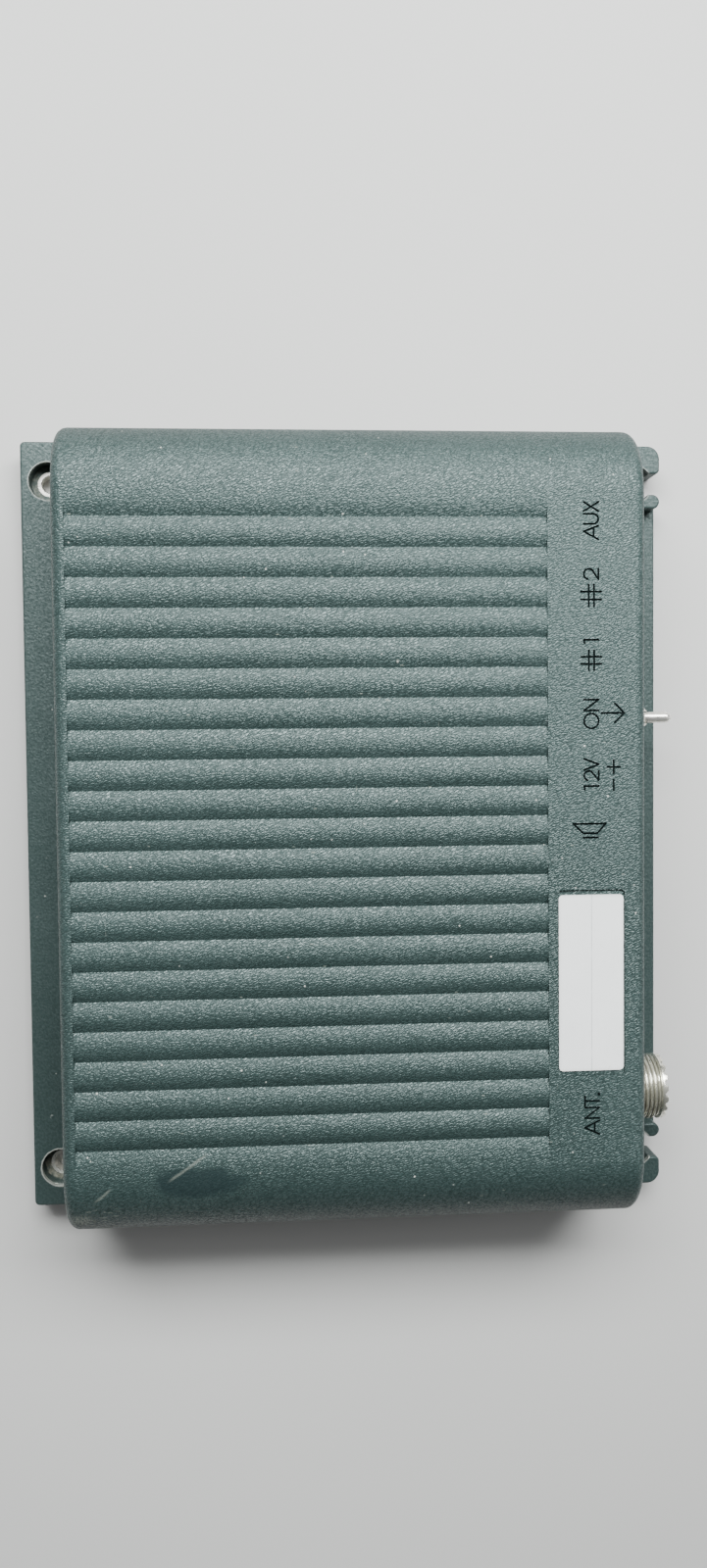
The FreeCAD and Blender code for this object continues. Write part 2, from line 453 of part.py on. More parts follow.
out("filter_cans", group([rbox(x, x + 8, -28, -20, PT, PT + 13, 0.8) for x in (-62, -52, -42, -32)]))
cr = rbox(31, 42, 24, 28.6, PT, PT + 13, 2.0)
out("reference_crystal", cr)
out("processor_chip", fuse([rbox(36, 60, -12, 12, PT, PT + 4.4, 1.0)] + [box(37.5 + 2 * i, 38.3 + 2 * i, -12.8, -11.9, PT, PT + 2) for i in range(11)] +
                           [box(37.5 + 2 * i, 38.3 + 2 * i, 11.9, 12.8, PT, PT + 2) for i in range(11)]))
def dip(x, y, n):
    b = [box(x, x + n * 2.54, y, y + 6.4, PT + 0.5, PT + 4.0)]
    b += [box(x + 0.9 + 2.54 * i, x + 1.5 + 2.54 * i, y - 0.6, y + 7.0, PT, PT + 1.2) for i in range(n)]
    return fuse(b)
out("logic_chips", group([dip(44, 22, 8), dip(10, 24, 7), dip(44, 36, 8)]))
out("amplifier_bracket", cut(fuse([box(28, 60, 55.8, 57.8, 6.0, 30), box(28, 60, 55.8, 63.4, 6.0, 8.0)]), *([cyl(1.6, V(x, 60.7, 0), 20) for x in (32, 56)] + [ycyl(1.5, 44, 50, 60, 25)])))
amp = fuse([box(34, 54, 51.3, 55.8, PT + 3, 28)] + [box(36 + 2.7 * i, 36.8 + 2.7 * i, 52.0, 52.6, PT, PT + 3.2) for i in range(7)])
out("audio_amplifier", amp.cut(ycyl(1.5, 44, 50, 60, 25)))
out("amplifier_screws", group([fuse([cyl(1.5, V(x, 60.7, 3.6), 4.5), cyl(2.6, V(x, 60.7, 8.0), 1.8)]) for x in (32, 56)] +
                              [fuse([ycyl(1.5, 44, 51.0, 58.6, 25), ycyl(2.6, 44, 49.5, 51.3, 25)])]))
tor = Part.makeTorus(7.5, 3.2, V(16, -34, PT + 3.3))
out("toroid_choke", tor)
out("electrolytic_capacitors", group([cyl(6.2, V(66, -26, PT), 20), cyl(5.0, V(69.6, 30, PT), 16), cyl(5.0, V(24, 46, PT), 16), cyl(4.0, V(-6, -38, PT), 12)]))
out("board_fuse", fuse([box(31, 52, -42, -34, PT, PT + 4), box(34, 49, -40.2, -35.8, PT + 3.5, PT + 9)]))
out("backup_cell", fuse([cyl(10.0, V(-40, -38.5, PT + 1.0), 3.2), box(-51, -29, -40.5, -36.5, PT, PT + 1.0)]))
out("protection_diode", fuse([Part.makeCylinder(2.6, 9, V(36, -26, PT + 3), X), Part.makeCylinder(0.6, 15, V(33, -26, PT + 3), X),
                              box(32.4, 33.6, -26.5, -25.5, PT, PT + 3.5), box(47.4, 48.6, -26.5, -25.5, PT, PT + 3.5)]))

bb = None
for k, s in made.items():
    ok = s.isValid() and len(s.Solids) >= 1
    if not ok or len(s.Solids) != 1:
        print(k, "valid", s.isValid(), "solids", len(s.Solids), "vol", round(s.Volume, 1))
    bb = s.BoundBox if bb is None else bb.united(s.BoundBox)
print(len(made), "nodes; box", [round(v, 3) for v in (bb.XMin, bb.XMax, bb.YMin, bb.YMax, bb.ZMin, bb.ZMax)])
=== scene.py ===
import bpy, bmesh, json, math
from mathutils import Vector, Matrix


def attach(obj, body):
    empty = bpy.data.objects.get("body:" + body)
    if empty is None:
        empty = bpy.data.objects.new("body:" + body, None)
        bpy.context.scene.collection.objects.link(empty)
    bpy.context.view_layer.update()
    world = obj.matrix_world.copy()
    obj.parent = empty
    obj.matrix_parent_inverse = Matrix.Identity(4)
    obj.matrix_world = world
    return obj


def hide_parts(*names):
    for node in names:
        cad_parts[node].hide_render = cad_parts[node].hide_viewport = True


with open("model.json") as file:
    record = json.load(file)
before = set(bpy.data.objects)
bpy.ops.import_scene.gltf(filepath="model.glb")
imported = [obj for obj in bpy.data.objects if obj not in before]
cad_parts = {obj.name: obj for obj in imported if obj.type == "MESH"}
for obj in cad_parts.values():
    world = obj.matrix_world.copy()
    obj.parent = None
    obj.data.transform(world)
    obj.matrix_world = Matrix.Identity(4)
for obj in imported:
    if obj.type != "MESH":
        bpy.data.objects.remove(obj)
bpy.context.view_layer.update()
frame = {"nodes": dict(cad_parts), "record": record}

NODES = frame["nodes"]
MM = 0.001

# ------------------------------------------------------------------ camera
cam_data = bpy.data.cameras.new("view_camera")
cam_data.sensor_fit = "VERTICAL"
cam_data.sensor_height = 36.0
cam_data.lens = 36.0 * 1220.86 / 1600.0
cam_data.clip_start = 0.01
cam = bpy.data.objects.new("view_camera", cam_data)
bpy.context.scene.collection.objects.link(cam)
right = Vector((-0.009906, -0.997393, 0.071478)).normalized()
back = Vector((0.039091, 0.071040, 0.996707)).normalized()
up = back.cross(right).normalized()
m = Matrix((right, up, back)).transposed().to_4x4()
m.translation = Vector((0.0218168, 0.0202995, 0.3095122))
cam.matrix_world = m
bpy.context.scene.camera = cam


# ------------------------------------------------------------------ node helper
class G:
    """a small node-graph writer for one material"""
    def __init__(self, name):
        self.mat = bpy.data.materials.new(name)
        self.mat.use_nodes = True
        self.t = self.mat.node_tree
        self.t.nodes.clear()
        self.out = self.t.nodes.new("ShaderNodeOutputMaterial")
        self.b = self.t.nodes.new("ShaderNodeBsdfPrincipled")
        self.t.links.new(self.b.outputs[0], self.out.inputs[0])
        self.obj = self.t.nodes.new("ShaderNodeTexCoord").outputs["Object"]

    def link(self, a, sock):
        if isinstance(a, (int, float)):
            sock.default_value = a
        elif isinstance(a, (tuple, list)):
            sock.default_value = tuple(a) if len(a) == len(sock.default_value) else tuple(a) + (1.0,)
        else:
            self.t.links.new(a, sock)

    def math(self, op, a, b=0.0, c=None, clamp=False):
        n = self.t.nodes.new("ShaderNodeMath")
        n.operation = op
        n.use_clamp = clamp
        self.link(a, n.inputs[0])
        self.link(b, n.inputs[1])
        if c is not None:
            self.link(c, n.inputs[2])
        return n.outputs[0]

    def vmath(self, op, a, b=None, scale=None):
        n = self.t.nodes.new("ShaderNodeVectorMath")
        n.operation = op
        self.link(a, n.inputs[0])
        if b is not None:
            self.link(b, n.inputs[1])
        if scale is not None:
            self.link(scale, n.inputs["Scale"])
        return n.outputs["Value"] if op in ("DISTANCE", "LENGTH", "DOT_PRODUCT") else n.outputs[0]

    def mapping(self, scale, loc=(0, 0, 0), rot=(0, 0, 0), src=None):
        n = self.t.nodes.new("ShaderNodeMapping")
        self.t.links.new(src or self.obj, n.inputs[0])
        n.inputs["Location"].default_value = loc
        n.inputs["Rotation"].default_value = rot
        n.inputs["Scale"].default_value = scale if isinstance(scale, tuple) else (scale,) * 3
        return n.outputs[0]

    def noise(self, scale, detail=3.0, rough=0.55, src=None, dist=0.0):
        n = self.t.nodes.new("ShaderNodeTexNoise")
        self.t.links.new(src or self.obj, n.inputs["Vector"])
        n.inputs["Scale"].default_value = scale
        n.inputs["Detail"].default_value = detail
        n.inputs["Roughness"].default_value = rough
        n.inputs["Distortion"].default_value = dist
        return n.outputs["Fac"]

    def noise_vec(self, scale, src=None):
        n = self.t.nodes.new("ShaderNodeTexNoise")
        self.t.links.new(src or self.obj, n.inputs["Vector"])
        n.inputs["Scale"].default_value = scale
        n.inputs["Detail"].default_value = 2.0
        return n.outputs["Color"]

    def voronoi(self, scale, feature="F1", src=None, rnd=1.0, out="Distance"):
        n = self.t.nodes.new("ShaderNodeTexVoronoi")
        n.feature = feature
        self.t.links.new(src or self.obj, n.inputs["Vector"])
        n.inputs["Scale"].default_value = scale
        n.inputs["Randomness"].default_value = rnd
        return n.outputs[out]

    def ramp(self, fac, stops, interp="LINEAR"):
        n = self.t.nodes.new("ShaderNodeValToRGB")
        n.color_ramp.interpolation = interp
        e = n.color_ramp.elements
        while len(e) > 1:
            e.remove(e[-1])
        e[0].position = stops[0][0]
        v = stops[0][1]
        e[0].color = (v, v, v, 1) if isinstance(v, (int, float)) else tuple(v) + (1,)
        for p, v in stops[1:]:
            k = e.new(p)
            k.color = (v, v, v, 1) if isinstance(v, (int, float)) else tuple(v) + (1,)
        self.link(fac, n.inputs[0])
        return n.outputs[0]

    def range(self, x, a, b, c=0.0, d=1.0):
        n = self.t.nodes.new("ShaderNodeMapRange")
        n.interpolation_type = "SMOOTHSTEP"
        self.link(x, n.inputs["Value"])
        for k, v in zip(("From Min", "From Max", "To Min", "To Max"), (a, b, c, d)):
            n.inputs[k].default_value = v
        return n.outputs["Result"]

    def mix(self, fac, a, b, mode="MIX"):
        n = self.t.nodes.new("ShaderNodeMix")
        n.data_type = "RGBA"
        n.blend_type = mode
        self.link(fac, n.inputs[0])
        self.link(a, n.inputs[6])
        self.link(b, n.inputs[7])
        return n.outputs[2]

    def bump(self, height, strength, dist, normal=None):
        n = self.t.nodes.new("ShaderNodeBump")
        self.link(strength, n.inputs["Strength"])
        n.inputs["Distance"].default_value = dist
        self.t.links.new(height, n.inputs["Height"])
        if normal is not None:
            self.t.links.new(normal, n.inputs["Normal"])
        return n.outputs[0]

    def near(self, p, r0, r1, squash=(1, 1, 1), wob=0.0, wscale=400.0):
        """1 at point p (mm), falling to 0 between r0 and r1 (mm); its edge wobbles"""
        q = self.mapping(squash, loc=tuple(-p[i] * MM * squash[i] for i in range(3)))
        d = self.vmath("LENGTH", q)
        if wob:
            n = self.noise(wscale, 4.0, 0.6)
            d = self.math("ADD", d, self.math("MULTIPLY", self.math("SUBTRACT", n, 0.5), wob * MM))
        return self.range(d, r0 * MM, r1 * MM, 1.0, 0.0)

    def sep(self):
        n = self.t.nodes.new("ShaderNodeSeparateXYZ")
        self.t.links.new(self.obj, n.inputs[0])
        return n.outputs

    def normal_z(self):
        g = self.t.nodes.new("ShaderNodeNewGeometry")
        n = self.t.nodes.new("ShaderNodeSeparateXYZ")
        self.t.links.new(g.outputs["True Normal"], n.inputs[0])
        return n.outputs[2]

    def set(self, **kw):
        names = dict(color="Base Color", rough="Roughness", metal="Metallic", normal="Normal", spec="Specular IOR Level",
                     ior="IOR", coat="Coat Weight", coat_rough="Coat Roughness", trans="Transmission Weight",
                     sheen="Sheen Weight", alpha="Alpha", aniso="Anisotropic")
        for k, v in kw.items():
            self.link(v, self.b.inputs[names[k]])
        return self.mat


# ------------------------------------------------------------------ materials
def dust(g, amount=1.0):
    """sparse pale specks of dust and lint"""
    v = g.voronoi(260.0, src=g.mapping((1, 1, 0.4)))
    gate = g.ramp(g.noise(90.0, 2.0), [(0.52, 0.0), (0.60, 1.0)])
    spot = g.range(v, 0.035, 0.075, 1.0, 0.0)
    v2 = g.voronoi(900.0, src=g.mapping((1, 1.3, 0.5)))
    spot2 = g.range(v2, 0.05, 0.10, 0.5, 0.0)
    gate2 = g.ramp(g.noise(140.0, 2.0, src=g.mapping(1.0, loc=(3, 1, 2))), [(0.60, 0.0), (0.68, 1.0)])
    return g.math("MULTIPLY", g.math("MAXIMUM", g.math("MULTIPLY", spot, gate), g.math("MULTIPLY", spot2, gate2)), amount)


def leather_cover():
    g = G("cover_leather_grain")
    xyz = g.sep()
    warp = g.vmath("ADD", g.obj, g.vmath("SCALE", g.noise_vec(800.0), scale=0.00035))
    # folds of the grain run aslant, as in the moulded surface
    skew = g.mapping((1.0, 1.0, 1.0), rot=(0, 0, math.radians(-27)), src=warp)
    skew = g.mapping((1.75, 0.72, 1.0), src=skew)
    cells = g.voronoi(1150.0, "DISTANCE_TO_EDGE", src=skew)
    pebble = g.range(cells, 0.0, 0.26, 0.0, 1.0)
    fine = g.voronoi(3000.0, "SMOOTH_F1", src=warp)
    wrinkle = g.noise(1500.0, 4.0, 0.6, src=skew)
    h = g.math("ADD", g.math("MULTIPLY", pebble, 0.60), g.math("MULTIPLY", wrinkle, 0.85))
    h = g.math("SUBTRACT", h, g.math("MULTIPLY", fine, 0.35))
    broad = g.noise(14.0, 3.0)
    patch = g.noise(60.0, 4.0)
    base = g.mix(g.range(broad, 0.35, 0.65), (0.022, 0.040, 0.038), (0.028, 0.049, 0.047))
    base = g.mix(g.math("MULTIPLY", g.range(wrinkle, 0.42, 0.66), 0.60), base, (0.044, 0.071, 0.068))
    base = g.mix(g.math("MULTIPLY", g.range(pebble, 0.0, 0.5, 1.0, 0.0), 0.55), base, (0.012, 0.021, 0.020))
    # painted shade: the floors of the debossed marks are coloured near-black, standing in for the shadow in these
    # recesses
    mark_floor_shade = g.math("MULTIPLY", g.math("LESS_THAN", xyz[2], 0.03825), g.math("GREATER_THAN", xyz[2], 0.03805))
    mark_floor_shade = g.math("MULTIPLY", mark_floor_shade, g.math("LESS_THAN", xyz[1], -0.0465))
    mark_floor_shade = g.math("MULTIPLY", mark_floor_shade, g.math("LESS_THAN", g.math("ABSOLUTE", xyz[0]), 0.0762))
    mark_floor_shade = g.math("MULTIPLY", mark_floor_shade, g.math("GREATER_THAN", xyz[1], -0.0630))
    base = g.mix(g.math("MULTIPLY", mark_floor_shade, 0.92), base, (0.003, 0.005, 0.005))
    # wear: scuffed corner with short pale strokes, a drawn scratch, a dark wiped patch, hairlines
    grit = g.noise(1100.0, 4.0, 0.7, src=g.mapping((0.55, 1.5, 1.0), rot=(0, 0, 0.35)))
    strokes = g.voronoi(620.0, src=g.mapping((2.1, 0.45, 0.8), rot=(0, 0, 0.5)))
    strokes = g.math("MULTIPLY", g.range(strokes, 0.13, 0.27, 1.0, 0.0), g.range(grit, 0.36, 0.52))
    scuff = g.near((-90.0, 60.0, 31.0), 2.0, 8.0, squash=(1, 0.55, 0.6), wob=6.0, wscale=420.0)
    scuff = g.math("MULTIPLY", scuff, strokes)
    nick = g.near((-89.0, 64.2, 34.8), 0.8, 2.9, squash=(1.25, 0.75, 0.5), wob=2.0, wscale=600.0)
    nick = g.math("MULTIPLY", nick, g.range(grit, 0.43, 0.54, 0.0, 0.9))
    smear = g.near((-79.4, 37.2, 38.0), 4.4, 7.2, squash=(1.7, 0.60, 0.3), wob=6.0, wscale=160.0)
    top = g.math("GREATER_THAN", xyz[2], 0.030)
    scr = None
    for cx, cy, c, y0, y1, k in ((0.8387, 0.5446, 0.04207, 0.0350, 0.0446, 0.30), (0.7660, 0.6428, 0.02482, 0.0566, 0.0616, 0.34)):
        ln = g.math("ADD", g.math("MULTIPLY", xyz[0], cx), g.math("MULTIPLY", xyz[1], cy))
        ln = g.math("ADD", ln, g.math("MULTIPLY", g.math("SUBTRACT", g.noise(120.0, 2.0), 0.5), 0.0014))
        line = g.range(g.math("ABSOLUTE", g.math("ADD", ln, c)), 0.00008, 0.00050, 1.0, 0.0)
        win = g.math("MULTIPLY", g.range(xyz[1], y0, y0 + 0.0015), g.range(xyz[1], y1 - 0.0020, y1, 1.0, 0.0))
        line = g.math("MULTIPLY", g.math("MULTIPLY", line, win), g.math("MULTIPLY", top, k))
        scr = line if scr is None else g.math("MAXIMUM", scr, line)
    rub = g.noise(190.0, 3.0, 0.6, src=g.mapping((1.0, 9.0, 1.0), rot=(0, 0, 0.5)))
    rub = g.math("MULTIPLY", g.range(rub, 0.70, 0.76), g.range(g.noise(22.0, 2.0, src=g.mapping(1.0, loc=(7, 3, 1))), 0.52, 0.62, 0.0, 0.35))
    tick = g.voronoi(210.0, src=g.mapping((2.4, 0.75, 1.0), rot=(0, 0, -0.5)))
    tick = g.math("MULTIPLY", g.range(tick, 0.045, 0.085, 1.0, 0.0), g.range(g.noise(48.0, 2.0, src=g.mapping(1.0, loc=(2, 6, 1))), 0.50, 0.58, 0.0, 0.6))
    rub = g.math("MAXIMUM", rub, tick)
    worn = g.math("MAXIMUM", g.math("MAXIMUM", g.math("MULTIPLY", g.math("MAXIMUM", scuff, nick), 0.9), scr), rub)
    # painted shade: the lower walls (z 18-34 mm) are coloured darker, fully at the -X end and at 35 % elsewhere
    low = g.range(xyz[2], 0.018, 0.034, 1.0, 0.0)
    rim = g.math("MULTIPLY", g.range(g.normal_z(), 0.20, 0.75, 1.0, 0.0), g.math("GREATER_THAN", g.math("ABSOLUTE", xyz[1]), 0.0635))
    dull = g.math("MAXIMUM", g.range(xyz[2], 0.0270, 0.0365, 0.86, 0.0), g.math("MULTIPLY", rim, 0.80))
    low = g.math("MULTIPLY", low, g.range(xyz[0], -0.0925, -0.0885, 1.0, 0.35))
    base = g.mix(g.math("MULTIPLY", low, 0.6), base, (0.010, 0.016, 0.014))
    base = g.mix(g.math("MULTIPLY", smear, 0.65), base, (0.012, 0.022, 0.024))
    base = g.mix(worn, base, (0.27, 0.29, 0.25))
    base = g.mix(dust(g, 0.8), base, (0.66, 0.67, 0.62))
    rough = g.math("ADD", 0.375, g.math("MULTIPLY", g.math("SUBTRACT", patch, 0.5), 0.14))
    rough = g.math("ADD", rough, g.math("MULTIPLY", g.range(pebble, 0.0, 0.6, 1.0, 0.0), 0.14))
    rough = g.math("SUBTRACT", rough, g.math("MULTIPLY", smear, 0.10))
    rough = g.math("ADD", rough, g.math("MULTIPLY", worn, 0.25))
    rough = g.math("ADD", rough, g.math("MULTIPLY", mark_floor_shade, 0.4), clamp=True)
    keep = g.math("SUBTRACT", 1.0, g.math("MULTIPLY", smear, 0.55))
    # painted shade: the mark floors also lose almost all their gloss
    gloss = g.math("SUBTRACT", 1.0, g.math("MULTIPLY", mark_floor_shade, 0.96))
    gloss = g.math("MULTIPLY", gloss, g.math("SUBTRACT", 1.0, dull))
    grain = g.math("MULTIPLY", g.range(wrinkle, 0.40, 0.60, 0.55, 1.0), g.range(pebble, 0.0, 0.5, 0.65, 1.0))
    gloss = g.math("MULTIPLY", gloss, grain)
    nrm = g.bump(g.math("MULTIPLY", h, keep), 0.64, 0.00016)
    g.b.inputs["Specular Tint"].default_value = (0.84, 1.0, 0.985, 1.0)
    return g.set(color=base, rough=rough, normal=nrm, spec=gloss)


def base_paint():
    g = G("base_textured_paint")
    xyz = g.sep()
    fine = g.noise(1900.0, 3.0, 0.6)
    cells = g.voronoi(1700.0, "SMOOTH_F1")
    broad = g.noise(18.0, 3.0)
    col = g.mix(g.range(broad, 0.35, 0.65), (0.024, 0.041, 0.039), (0.030, 0.049, 0.047))
    col = g.mix(g.math("MULTIPLY", g.range(fine, 0.35, 0.65), 0.4), col, (0.042, 0.063, 0.060))
    low = g.math("LESS_THAN", xyz[2], 0.0046)
    high = g.math("GREATER_THAN", xyz[2], 0.0072)
    rim, floor_dirt = None, None
    # paint rubbed off round the screw seats, grey-brown dirt on their floors
    for sx in (-1, 1):
        for sy in (1, -1):
            k = {(-1, 1): 0.95, (1, 1): 0.35, (-1, -1): 0.55, (1, -1): 0.25}[(sx, sy)]
            q = g.mapping((1, 1, 0), loc=(-sx * 0.0854, -sy * 0.0734, 0))
            d = g.vmath("LENGTH", q)
            d = g.math("ADD", d, g.math("MULTIPLY", g.math("SUBTRACT", g.noise(700.0, 3.0), 0.5), 0.0005))
            r = g.range(g.math("ABSOLUTE", g.math("SUBTRACT", d, 0.00474)), 0.00006, 0.00028, 1.0, 0.0)
            r = g.math("MULTIPLY", g.math("MULTIPLY", r, high), k)
            f = g.math("MULTIPLY", g.range(d, 0.0044, 0.0048, 1.0, 0.0), low)
            f = g.math("MULTIPLY", f, g.range(g.noise(800.0, 4.0), 0.35, 0.60, 0.25, 1.0))
            f = g.math("MULTIPLY", f, 0.9 if sx < 0 else 0.45)
            rim = r if rim is None else g.math("MAXIMUM", rim, r)
            floor_dirt = f if floor_dirt is None else g.math("MAXIMUM", floor_dirt, f)
    chips = g.math("MULTIPLY", g.range(g.noise(420.0, 5.0, 0.7), 0.66, 0.70), g.range(g.noise(40.0, 2.0), 0.55, 0.65))
    lugrub = g.near((-84.4, -72.6, 8.0), 0.8, 3.6, squash=(1, 1, 0.4), wob=2.6, wscale=600.0)
    lugrub = g.math("MULTIPLY", lugrub, g.range(g.noise(900.0, 4.0, 0.7), 0.42, 0.55, 0.0, 0.8))
    wear = g.math("MAXIMUM", g.math("MAXIMUM", rim, g.math("MULTIPLY", chips, 0.5)), lugrub)
    col = g.mix(floor_dirt, col, g.mix(g.range(g.noise(1300.0, 4.0), 0.35, 0.65), (0.10, 0.095, 0.07), (0.26, 0.25, 0.20)))
    col = g.mix(wear, col, (0.52, 0.54, 0.50))
    col = g.mix(dust(g, 0.6), col, (0.55, 0.56, 0.52))
    rough = g.math("ADD", 0.47, g.math("MULTIPLY", g.math("SUBTRACT", g.noise(75.0, 4.0), 0.5), 0.2))
    rough = g.math("ADD", rough, g.math("MULTIPLY", floor_dirt, 0.2))
    nrm = g.bump(g.math("SUBTRACT", fine, g.math("MULTIPLY", cells, 0.8)), 0.6, 0.00012)
    nrm = g.bump(g.noise(700.0, 4.0), g.math("MULTIPLY", floor_dirt, 1.0), 0.0003, nrm)
    g.b.inputs["Specular Tint"].default_value = (0.86, 1.0, 0.99, 1.0)
    return g.set(color=col, rough=rough, normal=nrm, metal=g.math("MULTIPLY", rim, 0.6),
                 spec=g.range(g.noise(1500.0, 3.0, 0.6), 0.42, 0.60, 0.40, 0.74))


def satin_black():
    g = G("panel_satin_black")
    n = g.noise(1500.0, 3.0)
    col = g.mix(g.range(g.noise(40.0, 3.0), 0.3, 0.7), (0.012, 0.014, 0.014), (0.020, 0.023, 0.022))
    col = g.mix(dust(g, 0.4), col, (0.35, 0.35, 0.33))
    return g.set(color=col, rough=g.range(g.noise(60.0, 4.0), 0.3, 0.7, 0.42, 0.58), normal=g.bump(n, 0.35, 0.00006))


def foil_label():
    g = G("label_foil")
    xyz = g.sep()
    rule = g.range(g.math("ABSOLUTE", g.math("ADD", xyz[1], 0.0540)), 0.00003, 0.00010, 1.0, 0.0)
    rule = g.math("MULTIPLY", rule, g.range(g.noise(260.0, 3.0), 0.30, 0.50, 0.35, 0.8))
    fibre = g.noise(900.0, 4.0, 0.65, src=g.mapping((0.35, 4.0, 1.0)))
    cloud = g.noise(70.0, 4.0)
    col = g.mix(g.range(cloud, 0.3, 0.7), (0.93, 0.95, 0.95), (0.98, 0.995, 0.995))
    col = g.mix(g.math("MULTIPLY", g.range(fibre, 0.3, 0.7), 0.16), col, (0.80, 0.82, 0.83))
    # painted shade: the label is darkened along its border, where it sits in its recess
    label_border_shade = g.math("MAXIMUM", g.range(g.math("ABSOLUTE", g.math("ADD", xyz[0], 0.03575)), 0.0197, 0.0206),
                  g.range(g.math("ABSOLUTE", g.math("ADD", xyz[1], 0.053925)), 0.0068, 0.0077))
    col = g.mix(g.math("MULTIPLY", label_border_shade, 0.25), col, (0.42, 0.42, 0.38))
    smut = g.range(g.noise(420.0, 5.0, 0.7, src=g.mapping(1.0, loc=(2, 2, 0))), 0.64, 0.72, 0.0, 0.35)
    col = g.mix(smut, col, (0.38, 0.38, 0.35))
    col = g.mix(g.math("MULTIPLY", rule, 0.8), col, (0.22, 0.24, 0.25))
    return g.set(color=col, rough=g.range(cloud, 0.3, 0.7, 0.34, 0.46),
                 normal=g.bump(fibre, 0.18, 0.00004), spec=0.5)


def metal(name, c0, c1, rough0, rough1, scale=500.0, stretch=(1, 1, 1), tarnish=(0.25, 0.22, 0.16), tar=0.25, bump=0.15,
          solid=1.0):
    g = G(name)
    n = g.noise(scale, 4.0, 0.6, src=g.mapping(stretch))
    cloud = g.noise(130.0, 4.0, 0.6)
    col = g.mix(g.range(cloud, 0.3, 0.7), c0, c1)
    t = g.math("MULTIPLY", g.range(g.noise(330.0, 5.0, 0.7, src=g.mapping(1.0, loc=(1, 5, 2))), 0.52, 0.68), tar)
    col = g.mix(t, col, tarnish)
    r = g.math("ADD", g.range(n, 0.25, 0.75, rough0, rough1), g.math("MULTIPLY", t, 0.35))
    return g.set(color=col, rough=r, metal=solid, normal=g.bump(n, bump, 0.00005))


def nickel_thread():
    """bright plate on the crests; painted shade darkens the thread roots and the gaps between the teeth"""
    g = G("nickel_plate_thread")
    xyz = g.sep()
    r = g.vmath("LENGTH", g.mapping((1, 0, 1), loc=(0.0668, 0.0, -0.0165)))
    n = g.noise(700.0, 4.0, 0.6)
    col = g.mix(g.range(g.noise(150.0, 4.0, 0.6), 0.3, 0.7), (0.80, 0.79, 0.68), (0.92, 0.91, 0.83))
    col = g.mix(g.range(g.noise(330.0, 5.0, 0.7, src=g.mapping(1.0, loc=(1, 5, 2))), 0.52, 0.68, 0.0, 0.35), col, (0.34, 0.32, 0.22))
    band = g.math("MULTIPLY", g.math("GREATER_THAN", xyz[1], -0.0756), g.math("LESS_THAN", xyz[1], -0.0686))
    root = g.math("MULTIPLY", g.range(r, 0.00742, 0.00768, 1.0, 0.0), g.math("GREATER_THAN", r, 0.0070))
    root = g.math("MULTIPLY", root, band)
    gap = g.math("MULTIPLY", g.range(xyz[1], -0.07705, -0.07650), g.range(r, 0.00780, 0.00790, 1.0, 0.0))
    gap = g.math("MULTIPLY", gap, g.math("MULTIPLY", g.math("GREATER_THAN", r, 0.0062), g.math("LESS_THAN", xyz[1], -0.0758)))
    # painted shade: thread roots and tooth gaps are coloured dark olive and made rougher
    thread_root_shade = g.math("MULTIPLY", g.math("MAXIMUM", root, gap), g.range(n, 0.20, 0.60, 0.58, 0.80))
    col = g.mix(thread_root_shade, col, (0.070, 0.066, 0.046))
    rough = g.math("ADD", g.range(n, 0.25, 0.75, 0.22, 0.36), g.math("MULTIPLY", thread_root_shade, 0.30))
    return g.set(color=col, rough=rough, metal=0.9, normal=g.bump(n, 0.15, 0.00005))


def plastic(name, c0, c1, rough=0.45, scale=800.0, bump=0.2, spec=0.5, coat=0.0):
    g = G(name)
    n = g.noise(scale, 4.0, 0.6)
    cloud = g.noise(110.0, 3.0)
    col = g.mix(g.range(cloud, 0.3, 0.7), c0, c1)
    col = g.mix(g.math("MULTIPLY", g.range(n, 0.55, 0.75), 0.2), col, tuple(min(1.0, v * 1.5 + 0.01) for v in c1))
    r = g.math("ADD", rough - 0.06, g.math("MULTIPLY", cloud, 0.12))
    return g.set(color=col, rough=r, normal=g.bump(n, bump, 0.00005), spec=spec, coat=coat)


def board_green():
    g = G("board_green_mask")
    tr = g.t.nodes.new("ShaderNodeTexBrick")
    g.t.links.new(g.mapping(1.0), tr.inputs["Vector"])
    tr.inputs["Scale"].default_value = 160.0
    tr.inputs["Mortar Size"].default_value = 0.06
    col = g.mix(g.range(g.noise(50.0, 3.0), 0.3, 0.7), (0.012, 0.085, 0.035), (0.018, 0.12, 0.05))
    col = g.mix(g.math("MULTIPLY", tr.outputs["Fac"], 0.5), col, (0.05, 0.22, 0.09))
    return g.set(color=col, rough=g.range(g.noise(300.0, 3.0), 0.3, 0.7, 0.25, 0.4),
                 normal=g.bump(tr.outputs["Fac"], 0.4, 0.00004))


